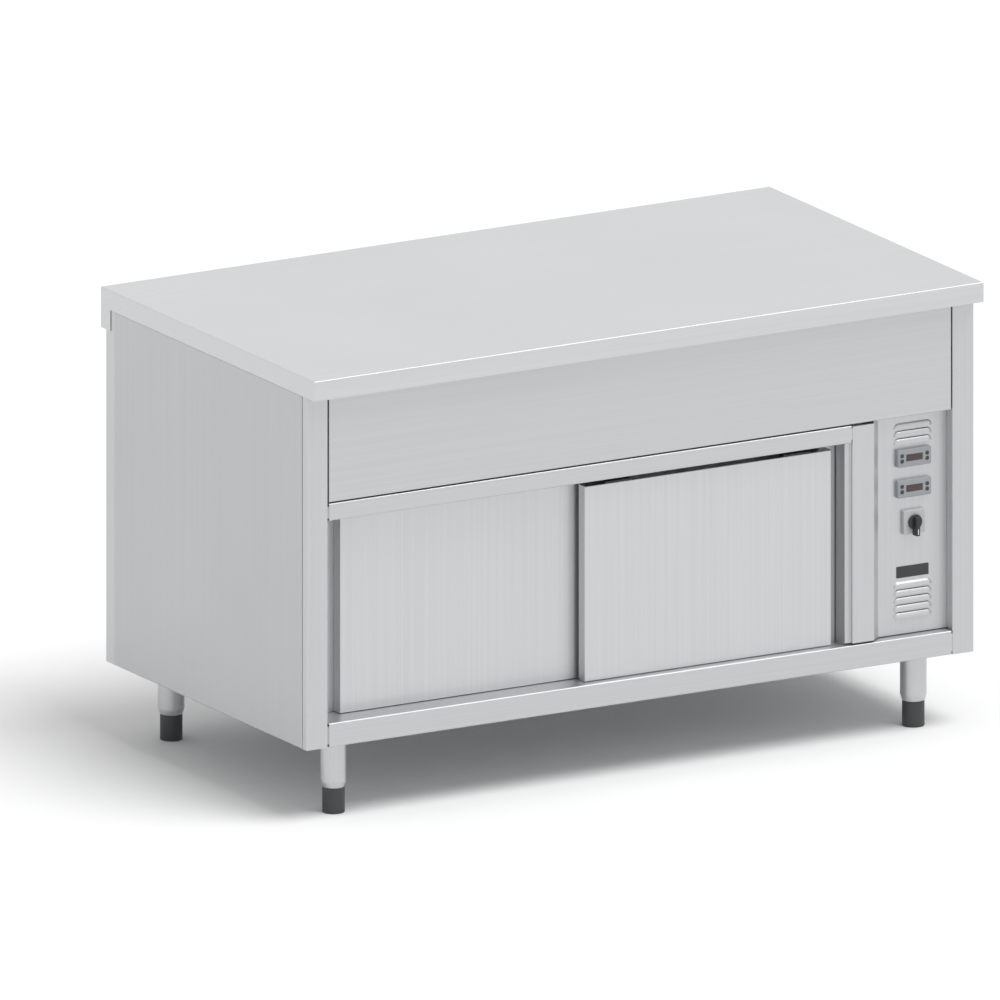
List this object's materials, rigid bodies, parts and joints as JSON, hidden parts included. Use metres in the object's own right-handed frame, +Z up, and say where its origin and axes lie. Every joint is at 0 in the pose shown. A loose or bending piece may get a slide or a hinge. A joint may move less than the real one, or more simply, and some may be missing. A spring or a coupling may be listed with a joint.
{
  "type": "plate warmer cabinet",
  "caption": "Stainless steel heated cupboard under a worktop, with two overlapping sliding doors, a recessed louvred control panel and round levelling legs.",
  "frame": {"origin": "on the floor, under the middle of the worktop (bottom centre of the bounding box)", "axes": "+X to the right seen from the working side, +Y towards the customer side, +Z up"},
  "size_m": [1.5, 0.83, 0.9],
  "materials": {
    "outer_steel": "fine brushed stainless steel",
    "door_steel": "fine brushed stainless steel",
    "inner_steel": "smooth stainless steel",
    "galvanised": "galvanised sheet",
    "leg_steel": "satin stainless tube",
    "foot_plastic": "moulded nylon",
    "bezel_plastic": "fine grained grey plastic",
    "switch_plastic": "light grey plastic",
    "dark_plastic": "fine grained black plastic",
    "button_plastic": "soft dark plastic",
    "plate_black": "satin black",
    "nylon": "natural nylon",
    "wool": "mineral wool",
    "element": "dark heating element sheath"
  },
  "bodies": {
    "cabinet": {"base_panel": "galvanised", "blank_plate": "plate_black", "bottom_rail": "outer_steel", "cable_gland": "dark_plastic", "centre_post": "outer_steel", "chamber_ceiling": "inner_steel", "chamber_floor": "inner_steel", "chamber_heaters": "element", "chamber_insulation": "wool", "chamber_left_wall": "inner_steel", "chamber_rear_wall": "inner_steel", "chamber_right_wall": "inner_steel", "control_panel": "outer_steel", "door_head_rail": "outer_steel", "front_fascia": "outer_steel", "front_left_post": "outer_steel", "front_right_post": "outer_steel", "heater_guard": "inner_steel", "left_jamb": "outer_steel", "left_side_panel": "outer_steel", "leg_tubes": "leg_steel", "lower_door_guides": "nylon", "lower_thermostat": "bezel_plastic", "rear_left_post": "outer_steel", "rear_panel": "outer_steel", "rear_right_post": "outer_steel", "right_jamb": "outer_steel", "right_side_panel": "outer_steel", "shelf": "inner_steel", "shelf_brackets": "inner_steel", "shelf_uprights": "inner_steel", "switch_body": "switch_plastic", "terminal_block": "dark_plastic", "upper_door_track": "galvanised", "upper_thermostat": "bezel_plastic", "worktop": "outer_steel", "worktop_stiffeners": "galvanised"},
    "left_door": {"left_door_shell": "door_steel", "left_door_liner": "door_steel", "left_door_hangers": "galvanised"},
    "right_door": {"right_door_shell": "door_steel", "right_door_liner": "door_steel", "right_door_hangers": "galvanised"},
    "left_door_left_roller": {"left_door_left_roller": "nylon"},
    "left_door_right_roller": {"left_door_right_roller": "nylon"},
    "right_door_left_roller": {"right_door_left_roller": "nylon"},
    "right_door_right_roller": {"right_door_right_roller": "nylon"},
    "upper_left_top_button": {"upper_left_top_button": "button_plastic"},
    "upper_left_low_button": {"upper_left_low_button": "button_plastic"},
    "upper_right_top_button": {"upper_right_top_button": "button_plastic"},
    "upper_right_low_button": {"upper_right_low_button": "button_plastic"},
    "lower_left_top_button": {"lower_left_top_button": "button_plastic"},
    "lower_left_low_button": {"lower_left_low_button": "button_plastic"},
    "lower_right_top_button": {"lower_right_top_button": "button_plastic"},
    "lower_right_low_button": {"lower_right_low_button": "button_plastic"},
    "front_left_foot": {"front_left_foot": "foot_plastic"},
    "front_right_foot": {"front_right_foot": "foot_plastic"},
    "rear_left_foot": {"rear_left_foot": "foot_plastic"},
    "rear_right_foot": {"rear_right_foot": "foot_plastic"},
    "switch_knob": {"switch_knob": "dark_plastic"}
  },
  "joints": [
    {"name": "left_door_slide", "type": "slide", "parent": "cabinet", "child": "left_door", "axis": [1, 0, 0], "range_m": [0, 0.53]},
    {"name": "right_door_slide", "type": "slide", "parent": "cabinet", "child": "right_door", "axis": [1, 0, 0], "range_m": [-0.53, 0]},
    {"name": "left_door_left_roller_spin", "type": "hinge", "parent": "left_door", "child": "left_door_left_roller", "pos_m": [-0.5665, -0.318, 0.6228], "axis": [0, 1, 0], "range_deg": [0, 3040]},
    {"name": "left_door_right_roller_spin", "type": "hinge", "parent": "left_door", "child": "left_door_right_roller", "pos_m": [-0.1665, -0.318, 0.6228], "axis": [0, 1, 0], "range_deg": [0, 3040]},
    {"name": "right_door_left_roller_spin", "type": "hinge", "parent": "right_door", "child": "right_door_left_roller", "pos_m": [-0.0365, -0.351, 0.6228], "axis": [0, 1, 0], "range_deg": [-3040, 0]},
    {"name": "right_door_right_roller_spin", "type": "hinge", "parent": "right_door", "child": "right_door_right_roller", "pos_m": [0.3635, -0.351, 0.6228], "axis": [0, 1, 0], "range_deg": [-3040, 0]},
    {"name": "upper_left_top_button_press", "type": "slide", "parent": "cabinet", "child": "upper_left_top_button", "axis": [0, 1, 0], "range_m": [0, 0.0007], "stiffness_N_per_m": 1500},
    {"name": "upper_left_low_button_press", "type": "slide", "parent": "cabinet", "child": "upper_left_low_button", "axis": [0, 1, 0], "range_m": [0, 0.0007], "stiffness_N_per_m": 1500},
    {"name": "upper_right_top_button_press", "type": "slide", "parent": "cabinet", "child": "upper_right_top_button", "axis": [0, 1, 0], "range_m": [0, 0.0007], "stiffness_N_per_m": 1500},
    {"name": "upper_right_low_button_press", "type": "slide", "parent": "cabinet", "child": "upper_right_low_button", "axis": [0, 1, 0], "range_m": [0, 0.0007], "stiffness_N_per_m": 1500},
    {"name": "lower_left_top_button_press", "type": "slide", "parent": "cabinet", "child": "lower_left_top_button", "axis": [0, 1, 0], "range_m": [0, 0.0007], "stiffness_N_per_m": 1500},
    {"name": "lower_left_low_button_press", "type": "slide", "parent": "cabinet", "child": "lower_left_low_button", "axis": [0, 1, 0], "range_m": [0, 0.0007], "stiffness_N_per_m": 1500},
    {"name": "lower_right_top_button_press", "type": "slide", "parent": "cabinet", "child": "lower_right_top_button", "axis": [0, 1, 0], "range_m": [0, 0.0007], "stiffness_N_per_m": 1500},
    {"name": "lower_right_low_button_press", "type": "slide", "parent": "cabinet", "child": "lower_right_low_button", "axis": [0, 1, 0], "range_m": [0, 0.0007], "stiffness_N_per_m": 1500},
    {"name": "switch_knob_turn", "type": "hinge", "parent": "cabinet", "child": "switch_knob", "pos_m": [0.623, -0.3703, 0.42405], "axis": [0, 1, 0], "range_deg": [0, 90]},
    {"name": "front_left_foot_height", "type": "slide", "parent": "cabinet", "child": "front_left_foot", "axis": [0, 0, -1], "range_m": [0, 0.03]},
    {"name": "front_right_foot_height", "type": "slide", "parent": "cabinet", "child": "front_right_foot", "axis": [0, 0, -1], "range_m": [0, 0.03]},
    {"name": "rear_left_foot_height", "type": "slide", "parent": "cabinet", "child": "rear_left_foot", "axis": [0, 0, -1], "range_m": [0, 0.03]},
    {"name": "rear_right_foot_height", "type": "slide", "parent": "cabinet", "child": "rear_right_foot", "axis": [0, 0, -1], "range_m": [0, 0.03]}
  ],
  "couplings": [
    {"joint": "left_door_left_roller_spin", "follows": "left_door_slide", "rad_per_m": 100},
    {"joint": "left_door_right_roller_spin", "follows": "left_door_slide", "rad_per_m": 100},
    {"joint": "right_door_left_roller_spin", "follows": "right_door_slide", "rad_per_m": 100},
    {"joint": "right_door_right_roller_spin", "follows": "right_door_slide", "rad_per_m": 100}
  ]
}
